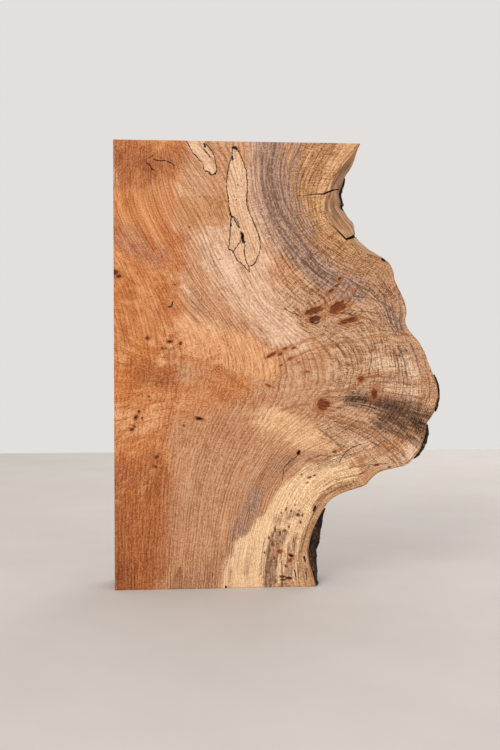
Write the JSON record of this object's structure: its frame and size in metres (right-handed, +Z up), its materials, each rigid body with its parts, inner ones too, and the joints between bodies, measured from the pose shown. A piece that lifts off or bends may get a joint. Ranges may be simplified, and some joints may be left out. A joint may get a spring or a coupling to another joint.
{
  "type": "live-edge wood slab",
  "caption": "Upright live-edge hardwood slab, sawn square on three edges, with a burled natural edge that keeps patches of bark.",
  "frame": {"origin": "under the middle of the object, on the plane it stands on", "axes": "+Z up the grain, +X towards the natural edge, -Y out of the show face, so the thickness runs along Y"},
  "size_m": [0.264, 0.04, 0.356],
  "materials": {
    "maple": "sanded, lightly oiled, satin",
    "bark": "rough dark bark"
  },
  "bodies": {
    "root": {"board": "maple", "bark_in_hollow": "bark", "bark_on_burl": "bark", "bark_under_burl": "bark", "bark_on_leg": "bark"}
  },
  "joints": []
}
